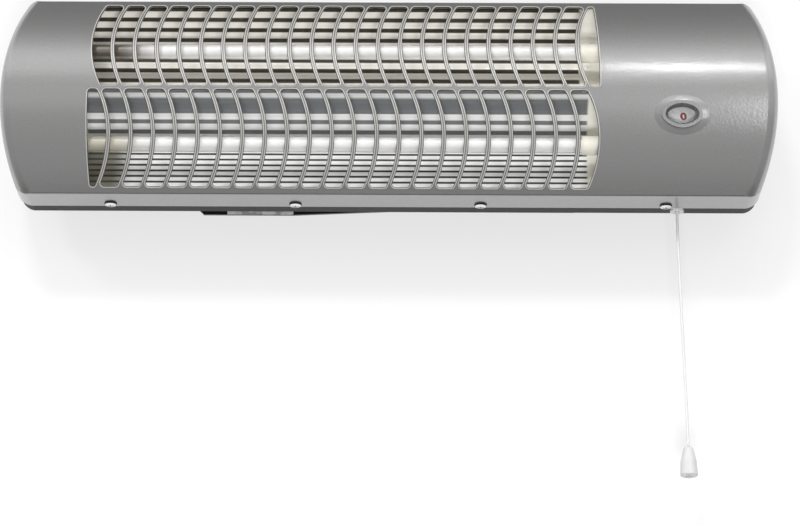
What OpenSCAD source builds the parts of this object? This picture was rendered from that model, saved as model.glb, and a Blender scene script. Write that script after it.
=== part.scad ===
// Two-tube quartz bathroom heater on a tilting wall bracket, worked by a pull cord.
// The origin is the middle of the bracket's wall plate, on the wall: +X is the
// heater's right as one faces it, -Y is out into the room and +Z is up.

/* [Cover] */
// Width of the front cover
body_w = 525; // [505:5:560]
// Height of the front cover
body_h = 142; // [138:1:160]
// How far the middle of the curved face stands in front of its upper and lower bends
face_bulge = 16.5; // [10:0.5:22]
// How far the middle of each end stands out past the end's corners
end_bulge = 14.5; // [8:0.5:20]
// Depth of the straight skirt behind the curved face
skirt_depth = 22.5; // [20:0.5:30]
// Thickness of the cover's sheet
cover_t = 1; // [0.8:0.1:1.4]
// Radius of the outline's corners, seen from the front
corner_r = 12; // [6:1:18]
// Radius of the bend between face and skirt
bend_r = 2; // [1.6:0.2:3]
// Radius of the rounded edge between face and ends
end_edge_r = 9; // [6:0.5:12]

/* [Grille] */
// Distance from one bar to the next
bar_pitch = 15; // [13:0.5:16]
// Width of a bar
bar_w = 2.3; // [1.8:0.1:3]
// Height of the plain edge between the slots and the upper and lower bends
grille_edge = 4.5; // [4.5:0.5:8]
// Width of the land between the two rows
row_gap = 2.4; // [2:0.1:4]
// How far each bar bows sideways
bar_bow = 7.5; // [4:0.5:9]
// Distance of the grille from the cover's left end
grille_left = 60; // [58:1:70]
// Distance of the grille from the cover's right end
grille_right = 120; // [118:1:130]
// Depth of the rim turned inwards round each slot
rim_depth = 2.5; // [2:0.1:3.5]
// Corner radius of a slot
slot_r = 2.4; // [1.5:0.1:3]

/* [Casing] */
// Width of the casing strip that shows behind the cover
casing_reveal = 13; // [11:0.5:15]
// Thickness of the casing's sheet
casing_t = 1; // [0.8:0.1:1.4]
// Gap all round between the cover and the casing inside it
cover_fit = 0.3; // [0.2:0.05:0.5]
// How far the casing's walls reach into the cover
casing_lap = 12; // [10:0.5:16]

/* [Cover screws] */
// Distance of the outer screws from the cover's ends
screw_from_end = 75; // [60:5:90]
// Number of screws along the lower skirt
screws_below = 4; // [2:2:4]
// Distance of the screws from the cover's rear rim
screw_inset = 5; // [4.5:0.1:6]
// Diameter of a screw's shank
screw_d = 3.5; // [3:0.1:4]
// Diameter of a screw's head
screw_head_d = 7.8; // [7:0.1:8.5]
// Height of a screw's head
screw_head_h = 2.2; // [1.8:0.1:2.6]
// Length of a screw below its head
screw_l = 9; // [6:0.5:10]

/* [Heating elements] */
// Outer diameter of a quartz tube
tube_d = 10; // [9:0.5:11]
// Wall of a quartz tube
tube_t = 1; // [0.8:0.1:1.5]
// Depth of the tubes' axis behind the bends of the face
tube_behind_bend = 2; // [0:0.5:3]
// Diameter of the wound heating wire
coil_d = 5; // [4:0.5:6]
// Diameter of a ceramic end cap
cap_d = 13; // [12.5:0.5:14]
// Length of a ceramic end cap
cap_l = 28; // [24:1:32]
// How far a tube goes into its cap
tube_in_cap = 15; // [12:1:18]
// Running gap between the tube and the cap's socket
tube_fit = 0.05; // [0.03:0.01:0.1]

/* [Reflector] */
// Thickness of the reflector's sheet
reflector_t = 0.6; // [0.5:0.1:0.8]
// Depth of the troughs behind the tubes' axis
trough_behind_tube = 19.5; // [17:0.5:20]
// How far the ridge between the troughs stands in front of the tubes' axis
ridge_before_tube = 13.5; // [10:0.5:14]
// Number of flutes across one trough
flutes = 12; // [8:2:16]
// Angle by which a hollow flute turns out of its chord at its edges
flute_turn = 15; // [13:1:17]
// Thickness of the ridge between the troughs
ridge_t = 2; // [1.6:0.1:2.4]
// Thickness of the polished end cheeks
cheek_t = 1; // [0.8:0.1:1.5]

/* [Wall bracket] */
// Distance of the bracket's ears from the cover's ends
bracket_from_end = 131; // [128:1:150]
// Height of the wall plate
bracket_h = 82; // [60:1:84]
// Thickness of the bracket's sheet
bracket_t = 2; // [1.5:0.1:2.5]
// How much less the wall plate reaches down at its right than at its left
bracket_taper = 3; // [2:0.5:6]
// Height of the heater's middle above the bracket's middle
body_z = 20; // [14:1:22]
// Distance of the casing's back from the wall
wall_gap = 32; // [31:0.5:40]
// Distance of the tilt axis from the wall
pivot_out = 18; // [16:0.5:19]
// Diameter of a pivot bolt
pivot_d = 6; // [5:0.5:7]
// Running gap between the pivot bolt and its lug
pivot_fit = 0.05; // [0.03:0.01:0.08]
// Radius of the ears round the pivot
ear_r = 10; // [9:0.5:11]
// Distance between the two wall screw slots
wall_hole_spacing = 180; // [120:5:200]
// Diameter of a wall screw slot
wall_hole_d = 5.5; // [4.5:0.1:6.5]
// Length of a wall screw slot between its end centres
wall_slot_l = 8; // [5:0.5:12]

/* [Switch and pull cord] */
// Distance of the switch and the cord from the cover's right end
switch_from_end = 66.5; // [62:0.5:70]
// Travel of the pull cord
pull_travel = 12; // [8:1:14]
// Diameter of the switch's pull rod
rod_d = 2.4; // [2:0.1:2.8]
// Sliding gap between the pull rod and the switch
rod_fit = 0.05; // [0.02:0.01:0.05]
// Diameter of the cord
cord_d = 1.8; // [1.4:0.1:2]
// Diameter of the pull knob at its foot
knob_d = 11.8; // [9:0.1:14]
// Height of the pull knob
knob_h = 20; // [16:0.5:24]
// Diameter of the cord bush's flange
bush_d = 9.4; // [8:0.1:9.4]
// Bore of the cord bush
bush_bore_d = 3.6; // [3.2:0.1:4]

/* [Indicator] */
// Height of the window's middle below the cover's middle
window_drop = 18; // [14:0.5:22]
// Width of the window's bezel
bezel_w = 27.2; // [25:0.2:30]
// Height of the window's bezel
bezel_h = 19.4; // [18:0.2:21]
// Width of the band between the bezel's edge and its window
bezel_band = 4.1; // [3.6:0.1:4.4]
// Diameter of the position dial
dial_d = 36; // [32:0.5:37]
// Diameter of the dial's spindle
spindle_d = 5; // [4:0.1:6]
// Running gap between the spindle and the switch
spindle_fit = 0.05; // [0.03:0.01:0.08]

/* [Mains entry] */
// Bore of the cable gland
gland_bore_d = 8; // [6:0.5:9]
// Diameter of the cable gland's thread
gland_d = 15; // [13:0.5:16]

/* [Hidden] */

$fn = 64;
// Overlap that makes a cut clean
eps = 0.5;

half_w = body_w / 2;
half_h = body_h / 2;

// Planes along Y, from the wall out into the room
back_y = -wall_gap;
casing_front_y = back_y - casing_t;
rim_y = back_y - casing_reveal;
bend_y = rim_y - skirt_depth;
apex_y = bend_y - face_bulge;

// Radii of the bowed face and of the bowed ends
face_r = bow_radius(half_h, face_bulge);
end_r = bow_radius(half_h, end_bulge);

// Rounded corners and edges are a little shallow, and meet their sides at this angle
crease = 8;

// Rows of slots, with as many bars as there is room for
row_h = half_h - grille_edge - row_gap / 2;
row_mid_z = (row_gap + row_h) / 2;
row_top_z = row_gap / 2 + row_h;
bar_r = bow_radius(row_h / 2, bar_bow);
bars = floor((body_w - grille_left - grille_right) / bar_pitch) - 1;
grille_half = (bars + 1) * bar_pitch / 2;
grille_x = grille_left + grille_half - half_w;
// The last slot's outer edge is a long arc, widest this far above the land
end_slot_r = 560;
end_slot_z = 10;
end_slot_top_r = 1.6;
end_slot_foot_r = 2.6;

// The casing's outline lies inside the cover's sheet
casing_inset = cover_t + cover_fit;
casing_floor_z = -(half_h - casing_inset);

// Elements
tube_y = bend_y + tube_behind_bend;
tube_z = row_mid_z;
cheek_gap = 2.5;
cheek_left_x = grille_x - grille_half - cheek_gap;
cheek_right_x = grille_x + grille_half + cheek_gap;
cap_hole_gap = 0.1;

// Troughs
trough_y = tube_y + trough_behind_tube;
ridge_y = tube_y - ridge_before_tube;
trough_lip_y = bend_y + rim_depth;
trough_half = row_mid_z - ridge_t / 2;
trough_spread = 70;
ridge_fold = 3;
flute_spare = 0.5;
core_inset = 1;
lip_trim = 0.3;
tube_x0 = cheek_left_x - tube_in_cap;
tube_x1 = cheek_right_x + cheek_t / 2;
coil_inset = 10;
coil_drop = tube_d / 2 - tube_t - coil_d / 2 - 0.05;
pin_d = 1.6;
pin_out = 5;

// Tilt pivot
pivot_y = -pivot_out;
ear_x = half_w - bracket_from_end;
washer_t = 1;
side_play = 0.3;
lug_t = 2;
lug_outer_x = ear_x - bracket_t - washer_t - side_play;
lug_inner_x = lug_outer_x - lug_t;
lug_r = ear_r - 1;
lug_foot = 22;
lug_foot_half = 12;
rivet_z = 6;
bolt_head_h = 4;
bolt_head_d = 10;
nut_h = 5;
nut_d = 11.5;
rivet_d = 3.4;
rivet_hole_d = 3.6;
rivet_head_d = 6.5;
rivet_head_h = 1.8;

// Window frame on the face: place and lean of the face there
window_z = -window_drop;
window_lean = asin(window_z / face_r);
window_y = face_at(window_z);
// The cover swells round the window, with these radii across and along
boss_rise = 1.6;
boss_r_x = 110;
boss_r_z = 46;
bezel_lip = 1.3;
// The bezel's flange lies on a flat seat, this far in front of the face
bezel_seat = boss_rise - 1.05;
bezel_flange_t = 1.6;
bezel_front = bezel_seat + bezel_flange_t;
bezel_deep = 5.5;
lens_t = 1.5;
lens_rim = 1;
hole_gap = 0.2;

// Switch, with its rod's sliding hole and its spring's chamber
switch_x = half_w - switch_from_end;
switch_w = 34;
switch_deep = 36;
switch_top_z = 16;
switch_above_edge = 33;
switch_foot_z = switch_above_edge - half_h;
switch_front_y = casing_front_y - switch_deep;
cord_y = back_y - casing_reveal / 2;
rod_guide = 8;
rod_out = 8;
rod_head_d = 4.8;
rod_head_h = 2;
rod_play = 0.3;
spring_wire = 0.6;
spring_turns = 7;
spring_slack = 2;
chamber_d = rod_head_d + 2 * rod_play;
chamber_h = spring_turns * spring_wire + spring_slack + pull_travel + rod_head_h;
chamber_z = switch_foot_z + rod_guide;
rod_head_z = chamber_z + chamber_h - rod_play - rod_head_h;

// Dial on its spindle
dial_x = switch_x + 1;
dial_z = -6;
dial_t = 1.5;
dial_front_y = window_y + 7;
hub_d = spindle_d + 4;
hub_gap = 0.5;
spindle_in = 12;

// Cord: straight down from the rod, then a slight set to the right in its free length
cord_top_z = switch_foot_z - rod_out;
cord_foot_z = -236;
cord_set = 3;
cord_route = [
    [switch_x, cord_y, cord_top_z],
    [switch_x, cord_y, -60],
    [switch_x, cord_y, -76],
    [switch_x + 0.3, cord_y, -100],
    [switch_x + 0.9, cord_y, -130],
    [switch_x + 1.6, cord_y, -160],
    [switch_x + 2.3, cord_y, -190],
    [switch_x + 2.8, cord_y, -215],
    [switch_x + cord_set, cord_y, cord_foot_z]
];
cord_sides = 8;
bush_flange_h = 1.5;
bush_body_d = 6.8;
bush_body_h = 4;
knob_top_d = 6.3;
knob_hollow_r = knob_d / 4;
knob_hollow_drop = 1.2;
knot_d = 2.8;
knot_out = 0.9;

// Mains entry and the fittings round it, placed from the heater's right end and edges
gland_x = half_w - 96.5;
gland_z = 26 - half_h;
gland_out = 9;
gland_in = 8;
gland_hex = 19;
gland_hex_h = 5;
gland_nut_h = 4;
terminal_size = [17, 16, 34];
terminal_x = half_w - 24.5;
terminal_z = 20;
terminal_ways = 3;
terminal_way = terminal_size[2] / terminal_ways;
terminal_screw_x = 4.5;
terminal_screw_d = 4;
terminal_wire_d = 3.2;
cutout_x = half_w - 92.5;
cutout_z = half_h - 25;
cutout_d = 16;
cutout_tab_x = 4;
cutout_h = 18;
earth_x = half_w - 30.5;
earth_z = 33 - half_h;
earth_d = 4;

// Leads: their bends, and the depth of the run behind the reflector's ridge
lead_d = 2.4;
lead_bend = 6;
lead_run = 26;
lead_side = 8;

// Radius of the arc that rises by "rise" over a half chord "half"
function bow_radius(half, rise) = (half * half + rise * rise) / (2 * rise);

// Y of the face's outer surface at height z above the cover's middle
function face_at(z) = apex_y + face_r - sqrt(face_r * face_r - z * z);

// ---------------------------------------------------------------- shared shapes

// Everything on the heater stands above the bracket's middle by body_z
module on_body() {
    translate([0, 0, body_z]) children();
}

// Extrudes an outline drawn in Y and Z along X, from x0 to x1
module along_x(x0, x1) {
    translate([x0, 0, 0]) rotate([90, 0, 90]) linear_extrude(x1 - x0) children();
}

// Extrudes an outline drawn in X and Z along Y, from y0 towards the room to y1
module along_y(y0, y1) {
    translate([0, y0, 0]) rotate([90, 0, 0]) linear_extrude(y0 - y1) children();
}

// A cylinder along Y from y0 towards the room to y1
module rod_y(x, z, d, y0, y1) {
    translate([x, y0, z]) rotate([90, 0, 0]) cylinder(d = d, h = y0 - y1);
}

// A cylinder along X
module rod_x(y, z, d, x0, x1) {
    translate([x0, y, z]) rotate([0, 90, 0]) cylinder(d = d, h = x1 - x0);
}

// The piece between a corner and the circle of radius r about c that rounds it.
// a and b, as long as r, run from c square to the two sides.
module corner_piece(c, a, b, r) {
    reach = 1.2;
    far = reach * (a + b) / (1 + a * b / (r * r));
    difference() {
        polygon([c, c + reach * a, c + far, c + reach * b]);
        translate(c) circle(r);
    }
}

// An outline from "start" to a bowed end at "reach", with its two corners rounded
module bowed_end(start, reach, half, bow_r, round_r) {
    mid = reach - bow_r;
    split = max(mid, start);
    deep = round_r * cos(crease);
    c = [mid + sqrt(pow(bow_r - deep, 2) - pow(half - deep, 2)), half - deep];
    side = round_r * (c - [mid, 0]) / (bow_r - deep);
    difference() {
        union() {
            if (split > start) translate([start, -half]) square([split - start, 2 * half]);
            intersection() {
                translate([mid, 0]) circle(bow_r, $fn = 180);
                translate([split, -half]) square([reach + eps - split, 2 * half]);
            }
        }
        for (s = [1, -1]) scale([1, s]) corner_piece(c, [0, round_r], side, round_r);
    }
}

// The heater's outline seen from the front, drawn in by "inset"
module front_outline(inset) {
    for (s = [1, -1]) scale([s, 1])
        bowed_end(0, half_w - inset, half_h - inset, end_r - inset, corner_r - inset);
}

// Waste cut away to round the edge between the face and the right end. The edge lies
// in an upright plane that leans back between face and end, so its waste is a ring.
module end_edge_waste(inset) {
    bulge = norm([end_bulge, face_bulge]);
    across = [end_bulge, face_bulge] / bulge;
    r = end_edge_r - inset;
    deep = r * cos(crease);
    test_z = 0.8 * half_h;
    slide = [
        (face_r - sqrt(face_r * face_r - test_z * test_z)) / across[1],
        (end_r - sqrt(end_r * end_r - test_z * test_z)) / across[0]
    ];
    touch_r = (bow_radius(test_z, slide[0]) + bow_radius(test_z, slide[1])) / 2;
    ring_r = touch_r - inset - r * (across[0] + across[1]) / 2;
    to_face = r * [across[1], across[0]];
    to_end = r * [across[0], -across[1]];
    c = [ring_r, 0];
    out = 1.5;
    mid = [half_w - inset - deep, apex_y + inset + deep];
    axis = mid + ring_r * [-across[0], across[1]];
    sweep = 42;
    translate([axis[0], axis[1], 0])
        rotate([90, 0, atan2(-across[1], across[0])])
            rotate([0, 0, -sweep])
                rotate_extrude(angle = 2 * sweep, $fn = 180) difference() {
                    polygon([c, c + out * to_face, c + out * (to_face + to_end), c + out * to_end]);
                    translate(c) circle(r);
                }
}

// The swelling of the face round the indicator window, drawn in by "inset"
module window_boss(inset) {
    deep = 8;
    sweep = 30;
    window_frame()
        translate([0, 0, boss_rise - boss_r_z]) rotate([0, 90, 0])
            rotate([0, 0, 180 - sweep]) rotate_extrude(angle = 2 * sweep, $fn = 180) intersection() {
                translate([boss_r_z - boss_r_x, 0]) circle(boss_r_x - inset, $fn = 180);
                translate([boss_r_z - deep, -boss_r_x]) square([deep, 2 * boss_r_x]);
            }
}

// The cover's closed form, drawn in by "inset" and open back to "rear_y"
module cover_form(inset, rear_y) {
    difference() {
        intersection() {
            along_x(-half_w - eps, half_w + eps) scale([-1, 1])
                bowed_end(-rear_y, -apex_y - inset, half_h - inset, face_r - inset, bend_r - inset);
            along_y(rear_y, apex_y - eps) front_outline(inset);
        }
        for (s = [1, -1]) scale([s, 1, 1]) end_edge_waste(inset);
    }
}

// Places its children on the face at the window, with their Z along the outward normal
module window_frame() {
    translate([dial_x, window_y, window_z]) rotate([90 - window_lean, 0, 0]) children();
}

// An oval of four arcs
module oval(w, h) {
    tip_r = 0.36 * h;
    tip_x = w / 2 - tip_r;
    drop = (tip_x * tip_x - pow(h / 2 - tip_r, 2)) / (h - 2 * tip_r);
    side_r = h / 2 + drop;
    join_x = tip_x * side_r / norm([tip_x, drop]);
    for (s = [1, -1]) translate([s * tip_x, 0]) circle(tip_r);
    intersection() {
        translate([0, -drop]) circle(side_r, $fn = 180);
        translate([0, drop]) circle(side_r, $fn = 180);
        square([2 * join_x, h], center = true);
    }
}

// ---------------------------------------------------------------- grille slots

// A slot's edge is an arc: [centre, radius, side of its centre, 1 if the slot is inside it]
function edge_x(edge, z, r) =
    edge[0][0] + edge[2] * sqrt(pow(edge[1] - edge[3] * r, 2) - pow(z - edge[0][1], 2));

// Rounds one corner of a slot: dir is 1 at its top and -1 at its foot
module slot_corner(edge, end_z, dir, r) {
    deep = r * cos(crease);
    z = end_z - dir * deep;
    c = [edge_x(edge, z, deep), z];
    to_side = edge[3] * r * (c - edge[0]) / (edge[1] - edge[3] * deep);
    corner_piece(c, [0, dir * r], to_side, r);
}

// One slot of the upper row between two edges
module slot(left, right, top_r, foot_r) {
    difference() {
        intersection() {
            translate(left[0]) circle(left[1], $fn = 180);
            if (right[3] == 1) translate(right[0]) circle(right[1], $fn = 360);
            translate([left[0][0] - left[1], row_gap / 2]) square([3 * bar_pitch, row_h]);
        }
        if (right[3] == -1) translate(right[0]) circle(right[1], $fn = 180);
        for (edge = [left, right]) {
            slot_corner(edge, row_top_z, 1, top_r);
            slot_corner(edge, row_gap / 2, -1, foot_r);
        }
    }
}

// The upper row of slots: bows to the left, and a long straight slot at the right end
module slot_row() {
    for (i = [0 : bars]) {
        x = i * bar_pitch - grille_half;
        left = [[x + bar_w / 2 + bar_r, row_mid_z], bar_r, -1, 1];
        bowed = [[x + bar_pitch - bar_w / 2 + bar_r, row_mid_z], bar_r, -1, -1];
        straight = [[grille_half - end_slot_r, end_slot_z], end_slot_r, 1, 1];
        if (i < bars) slot(left, bowed, slot_r, slot_r);
        else slot(left, straight, end_slot_top_r, end_slot_foot_r);
    }
}

// Both rows: the lower one is the upper one turned half round, so the bars run on
module grille_slots() {
    translate([grille_x, 0]) for (turn = [0, 180]) rotate(turn) slot_row();
}

// ---------------------------------------------------------------- cover and casing

// Screws along the lower (-1) or upper (1) skirt, each with its Z outward
module screw_places(count, side) {
    first_x = screw_from_end - half_w;
    pitch = -2 * first_x / (count - 1);
    for (i = [0 : count - 1])
        translate([first_x + i * pitch, rim_y - screw_inset, 0])
            scale([1, 1, side]) translate([0, 0, half_h]) children();
}

module all_screw_places() {
    screw_places(screws_below, -1) children();
    screw_places(2, 1) children();
}

// The pressed sheet: the cover's form, hollowed from behind
module cover_sheet() {
    difference() {
        union() {
            cover_form(0, rim_y);
            window_boss(0);
        }
        cover_form(cover_t, rim_y + eps);
        window_boss(cover_t);
    }
}

// The rims turned in round the slots meet behind the face, so they are one bowed pad
// that the slots then cut. It starts within the sheet, so the two are one piece.
module slot_rims() {
    pad_half_w = grille_half + bar_w;
    pad_half_h = row_top_z + bar_w / 2;
    sunk = 0.4 * cover_t;
    along_x(grille_x - pad_half_w, grille_x + pad_half_w) intersection() {
        difference() {
            translate([apex_y + face_r, 0]) circle(face_r - sunk, $fn = 360);
            translate([apex_y + face_r, 0]) circle(face_r - rim_depth, $fn = 360);
        }
        translate([apex_y, -pad_half_h]) square([face_r / 2, 2 * pad_half_h]);
    }
}

module front_cover() {
    color("silver") on_body() difference() {
        union() {
            cover_sheet();
            slot_rims();
        }
        along_y(trough_lip_y, apex_y - eps) grille_slots();
        window_frame() {
            translate([0, 0, -bezel_deep]) linear_extrude(3 * bezel_deep)
                oval(bezel_w - 2 * bezel_lip, bezel_h - 2 * bezel_lip);
            translate([0, 0, bezel_seat]) linear_extrude(2 * boss_rise)
                oval(bezel_w + 2 * hole_gap, bezel_h + 2 * hole_gap);
        }
        all_screw_places() translate([0, 0, -2 * cover_t])
            cylinder(d = screw_d + 3 * hole_gap, h = 4 * cover_t);
    }
}

module cover_screws() {
    drive_w = 1.1;
    drive_l = 4;
    drive_deep = 1.2;
    color("gainsboro") on_body() all_screw_places() difference() {
        union() {
            translate([0, 0, -screw_l]) cylinder(d = screw_d, h = screw_l + eps);
            intersection() {
                cylinder(d = screw_head_d, h = screw_head_h);
                translate([0, 0, screw_head_h - screw_head_d]) sphere(screw_head_d, $fn = 96);
            }
        }
        for (turn = [0, 90]) rotate(turn)
            translate([-drive_l / 2, -drive_w / 2, screw_head_h - drive_deep])
                cube([drive_l, drive_w, 2 * drive_deep]);
    }
}

module rear_casing() {
    floor_hole = bush_body_d + 2 * hole_gap;
    color("#2b2b2d") on_body() difference() {
        along_y(back_y, rim_y - casing_lap) front_outline(casing_inset);
        along_y(casing_front_y, rim_y - casing_lap - eps) front_outline(casing_inset + casing_t);
        all_screw_places() translate([0, 0, -casing_inset - casing_t - eps])
            cylinder(d = screw_d + 0.1, h = casing_t + 2 * eps);
        translate([switch_x, cord_y, casing_floor_z - eps])
            cylinder(d = floor_hole, h = casing_t + 2 * eps);
        rod_y(gland_x, gland_z, gland_d + 2 * hole_gap, back_y + eps, casing_front_y - eps);
        rod_y(earth_x, earth_z, earth_d + 2 * hole_gap, back_y + eps, casing_front_y - eps);
        for (s = [1, -1]) lug_rivet_places(s)
            rod_y(0, 0, rivet_hole_d, back_y + eps, casing_front_y - eps);
    }
}

// ---------------------------------------------------------------- reflector

// Where the flutes of one trough meet, from lip to lip on an oval curve
function flute_edge(i) =
    let (a = trough_spread * (2 * i / flutes - 1))
    let (front = a < 0 ? ridge_y : trough_lip_y)
    [
        trough_y - (trough_y - front) * (1 - cos(a)) / (1 - cos(trough_spread)),
        row_mid_z + trough_half * sin(a) / sin(trough_spread)
    ];

// The hollow of one flute over its chord from p to q, with a little to spare at each side
module flute(p, q, grow) {
    d = q - p;
    along = d / norm(d);
    in = [-along[1], along[0]];
    r = norm(d) / (2 * sin(flute_turn));
    c = (p + q) / 2 + r * cos(flute_turn) * in;
    a = p - flute_spare * along;
    b = q + flute_spare * along;
    intersection() {
        translate(c) circle(r + grow);
        polygon([
            a + 2 * core_inset * in, b + 2 * core_inset * in,
            b - 3 * reflector_t * in, a - 3 * reflector_t * in
        ]);
    }
}

// Inside of one trough, with every flute grown by "grow"
module trough(grow) {
    edges = [for (i = [0 : flutes]) flute_edge(i)];
    axis = [tube_y, row_mid_z];
    polygon([for (e = edges) e + core_inset * (axis - e) / norm(axis - e)]);
    for (i = [1 : flutes]) flute(edges[i - 1], edges[i], grow);
}

// Both troughs along X, from x0 to x1
module both_troughs(grow, x0, x1) {
    for (s = [1, -1]) scale([1, 1, s]) along_x(x0, x1) trough(grow);
}

// The room in front of the troughs: it trims the ridge, and the outer lips further back
module trough_mouths(x0, x1) {
    front_y = apex_y - eps;
    half = row_mid_z + trough_half + 2 * reflector_t;
    translate([x0, front_y, -half]) cube([x1 - x0, ridge_y + lip_trim - front_y, 2 * half]);
    for (s = [1, -1]) scale([1, 1, s]) translate([x0, front_y, row_mid_z])
        cube([x1 - x0, trough_lip_y + lip_trim - front_y, half - row_mid_z]);
}

module reflector() {
    color("lightgray") on_body() difference() {
        union() {
            both_troughs(reflector_t, cheek_left_x, cheek_right_x);
            translate([cheek_left_x, ridge_y, -ridge_t])
                cube([cheek_right_x - cheek_left_x, ridge_fold, 2 * ridge_t]);
        }
        both_troughs(0, cheek_left_x - eps, cheek_right_x + eps);
        trough_mouths(cheek_left_x - eps, cheek_right_x + eps);
    }
}

// A polished cheek closes the troughs, carries the tubes and stands on the casing
module cheek(x, side) {
    foot_w = 9;
    foot_half = 52;
    x0 = side > 0 ? x : x - cheek_t;
    on_body() {
        difference() {
            union() {
                both_troughs(reflector_t, x0, x0 + cheek_t);
                translate([x0, trough_y - eps, -foot_half])
                    cube([cheek_t, casing_front_y - trough_y + eps, 2 * foot_half]);
            }
            for (s = [1, -1])
                rod_x(tube_y, s * tube_z, cap_d + 2 * cap_hole_gap, x0 - eps, x0 + cheek_t + eps);
        }
        translate([side > 0 ? x : x - foot_w, casing_front_y - cheek_t, -foot_half])
            cube([foot_w, cheek_t, 2 * foot_half]);
    }
}

module reflector_cheek_left() {
    color("lightgray") cheek(cheek_left_x, -1);
}

module reflector_cheek_right() {
    color("lightgray") cheek(cheek_right_x, 1);
}

// ---------------------------------------------------------------- heating elements

module quartz_tube(side) {
    color("whitesmoke") on_body() difference() {
        rod_x(tube_y, side * tube_z, tube_d, tube_x0, tube_x1);
        rod_x(tube_y, side * tube_z, tube_d - 2 * tube_t, tube_x0 - eps, tube_x1 + eps);
    }
}

module quartz_tube_upper() {
    quartz_tube(1);
}

module quartz_tube_lower() {
    quartz_tube(-1);
}

// The wound wire lies in the milky tube and ends in straight pins through the caps
module heating_coil(side) {
    rest_z = side * tube_z - coil_drop;
    x0 = tube_x0 + coil_inset;
    x1 = tube_x1 - coil_inset;
    color("dimgray") on_body() {
        rod_x(tube_y, rest_z, coil_d, x0, x1);
        rod_x(tube_y, rest_z, pin_d, cap_x0(-1) - pin_out, x0 + eps);
        rod_x(tube_y, rest_z, pin_d, x1 - eps, cap_x0(1) + cap_l + pin_out);
    }
}

module heating_coil_upper() {
    heating_coil(1);
}

module heating_coil_lower() {
    heating_coil(-1);
}

// Left end of the cap at the left (-1) or right (1) end of the tubes
function cap_x0(side) = side < 0 ? tube_x0 + tube_in_cap - cap_l : tube_x1 - tube_in_cap;

module ceramic_caps() {
    socket_d = tube_d + 2 * tube_fit;
    pin_hole_d = 4;
    color("beige") on_body() for (end = [-1, 1], row = [-1, 1]) difference() {
        rod_x(tube_y, row * tube_z, cap_d, cap_x0(end), cap_x0(end) + cap_l);
        if (end < 0) rod_x(tube_y, row * tube_z, socket_d, tube_x0, cap_x0(end) + cap_l + eps);
        else rod_x(tube_y, row * tube_z, socket_d, cap_x0(end) - eps, tube_x1);
        rod_x(tube_y, row * tube_z - 1, pin_hole_d, cap_x0(end) - eps, cap_x0(end) + cap_l + eps);
    }
}

// ---------------------------------------------------------------- tilting bracket

// Side view of an ear: from the wall out to a round end about the pivot
module ear_outline(r, wall_y, foot) {
    difference() {
        union() {
            translate([pivot_y, 0]) circle(r);
            polygon([[pivot_y, r], [wall_y, foot], [wall_y, -foot], [pivot_y, -r]]);
        }
        translate([pivot_y, 0]) circle(d = pivot_d + 2 * pivot_fit);
    }
}

module wall_slots() {
    for (s = [1, -1]) translate([s * wall_hole_spacing / 2, 0]) {
        for (e = [1, -1]) translate([e * wall_slot_l / 2, 0]) circle(d = wall_hole_d);
        square([wall_slot_l, wall_hole_d], center = true);
    }
}

module wall_bracket() {
    cut = 3;
    hx = ear_x;
    hz = bracket_h / 2;
    right_foot = bracket_taper - hz;
    taper_x0 = -hx / 2;
    taper_x1 = 0;
    ear_foot = 24;
    color("#222224") {
        along_y(0, -bracket_t) difference() {
            polygon([
                [-hx + cut, -hz], [taper_x0, -hz], [taper_x1, right_foot], [hx - cut, right_foot],
                [hx, right_foot + cut], [hx, hz - cut],
                [hx - cut, hz], [-hx + cut, hz], [-hx, hz - cut], [-hx, -hz + cut]
            ]);
            wall_slots();
        }
        for (s = [1, -1]) scale([s, 1, 1])
            along_x(ear_x - bracket_t, ear_x) ear_outline(ear_r, 0, ear_foot);
    }
}

module pivot_bolts() {
    tip_x = lug_inner_x - side_play - nut_h - 2;
    color("gray") for (s = [1, -1]) scale([s, 1, 1]) {
        rod_x(pivot_y, 0, pivot_d, tip_x, ear_x + eps);
        translate([ear_x, pivot_y, 0]) rotate([0, 90, 0])
            cylinder(d = bolt_head_d, h = bolt_head_h, $fn = 6);
    }
}

module friction_washers() {
    color("ivory") for (s = [1, -1]) scale([s, 1, 1]) difference() {
        rod_x(pivot_y, 0, 2 * lug_r, ear_x - bracket_t - washer_t, ear_x - bracket_t);
        rod_x(pivot_y, 0, pivot_d + 2 * pivot_fit, ear_x - bracket_t - washer_t - eps, ear_x);
    }
}

module lock_nuts() {
    x0 = lug_inner_x - side_play - nut_h;
    color("gray") for (s = [1, -1]) scale([s, 1, 1]) difference() {
        translate([x0, pivot_y, 0]) rotate([0, 90, 0]) cylinder(d = nut_d, h = nut_h, $fn = 6);
        rod_x(pivot_y, 0, pivot_d + 2 * pivot_fit, x0 - eps, x0 + nut_h + eps);
    }
}

// Rivet places in a lug's foot, two to a lug, in the heater's own heights
module lug_rivet_places(side) {
    for (e = [1, -1])
        translate([side * (lug_inner_x - lug_foot / 2), 0, e * rivet_z - body_z]) children();
}

module tilt_lugs() {
    color("#2b2b2d") for (s = [1, -1]) scale([s, 1, 1]) {
        along_x(lug_inner_x, lug_outer_x) ear_outline(lug_r, back_y, lug_foot_half);
        difference() {
            translate([lug_inner_x - lug_foot, back_y, -lug_foot_half])
                cube([lug_foot + eps, lug_t, 2 * lug_foot_half]);
            on_body() lug_rivet_places(1) rod_y(0, 0, rivet_hole_d, back_y + lug_t + eps, back_y - eps);
        }
    }
}

module lug_rivets() {
    color("gray") on_body() for (s = [1, -1]) lug_rivet_places(s) {
        rod_y(0, 0, rivet_d, back_y + lug_t + eps, casing_front_y - eps);
        rod_y(0, 0, rivet_head_d, back_y + lug_t + rivet_head_h, back_y + lug_t);
        rod_y(0, 0, rivet_head_d, casing_front_y, casing_front_y - rivet_head_h);
    }
}

// ---------------------------------------------------------------- indicator

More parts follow.
